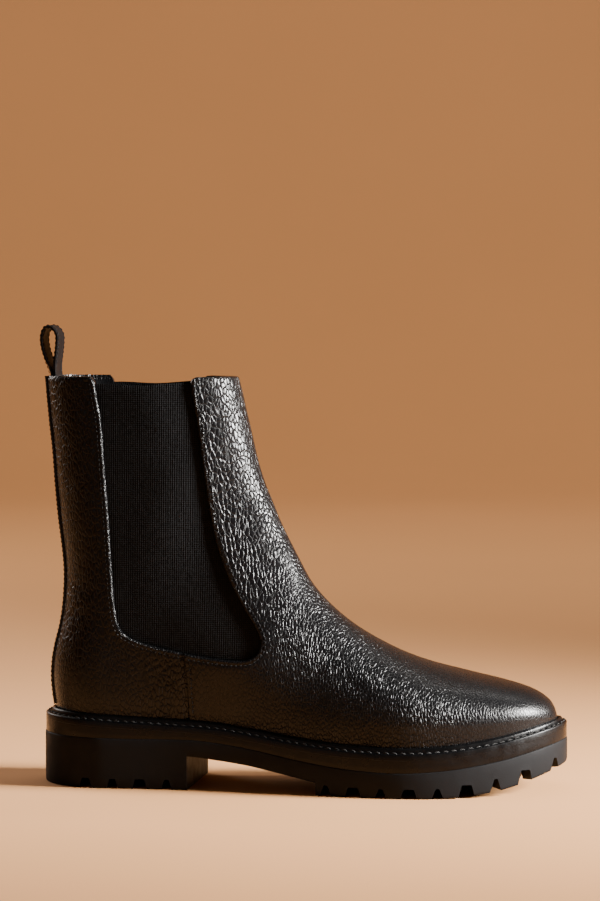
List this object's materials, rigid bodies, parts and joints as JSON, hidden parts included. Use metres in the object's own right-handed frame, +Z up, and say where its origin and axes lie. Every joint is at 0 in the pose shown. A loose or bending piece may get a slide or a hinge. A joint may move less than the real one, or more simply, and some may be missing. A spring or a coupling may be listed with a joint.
{
  "type": "chelsea boot",
  "caption": "Ankle-high black leather chelsea boot with elastic side gores, a heel pull tab, a storm welt and a chunky lug sole.",
  "frame": {"origin": "on the ground, under the middle of the boot's bounding box", "axes": "+X from heel to toe, +Y from the outer to the inner side of the foot, +Z up"},
  "size_m": [0.2904, 0.1004, 0.2526],
  "materials": {
    "leather": "black pebbled leather, semi-gloss",
    "lining": "smooth dark lining leather",
    "elastic": "ribbed black elastic webbing",
    "board": "fibre board",
    "foam": "foam padding",
    "cork": "ground cork",
    "steel": "spring steel strip",
    "welt": "black, slightly grained, semi-gloss",
    "rubber": "matt dark moulded rubber",
    "thread": "waxed thread"
  },
  "bodies": {
    "boot": {"vamp": "leather", "vamp_lining": "lining", "outer_quarter": "leather", "outer_quarter_lining": "lining", "inner_quarter": "leather", "inner_quarter_lining": "lining", "outer_gore": "elastic", "inner_gore": "elastic", "heel_counter": "board", "toe_puff": "board", "back_stay": "leather", "insole_board": "board", "heel_pad": "foam", "sock_liner": "lining", "insole_rib": "board", "bottom_filler": "cork", "shank": "steel", "welt": "welt", "midsole": "welt", "lug_sole": "rubber", "outer_quarter_thread": "thread", "outer_vamp_thread": "thread", "outer_side_thread": "thread", "inner_quarter_thread": "thread", "inner_vamp_thread": "thread", "inner_side_thread": "thread", "welt_thread": "thread"},
    "pull_tab": {"pull_tab": "leather"},
    "shaft_front": {"shaft_front": "leather", "shaft_front_lining": "lining", "outer_shaft_thread": "thread", "inner_shaft_thread": "thread"}
  },
  "joints": [
    {"name": "pull_tab_bend", "type": "hinge", "parent": "boot", "child": "pull_tab", "pos_m": [-0.13956, 0.00065, 0.2275], "axis": [0, 1, 0], "range_deg": [-75, 75], "stiffness_Nm_per_rad": 0.02},
    {"name": "shaft_front_flex", "type": "hinge", "parent": "boot", "child": "shaft_front", "pos_m": [-0.04826, 0.00065, 0.05], "axis": [0, 1, 0], "range_deg": [0, 6], "stiffness_Nm_per_rad": 10, "deforming": ["outer_gore", "inner_gore"]}
  ]
}
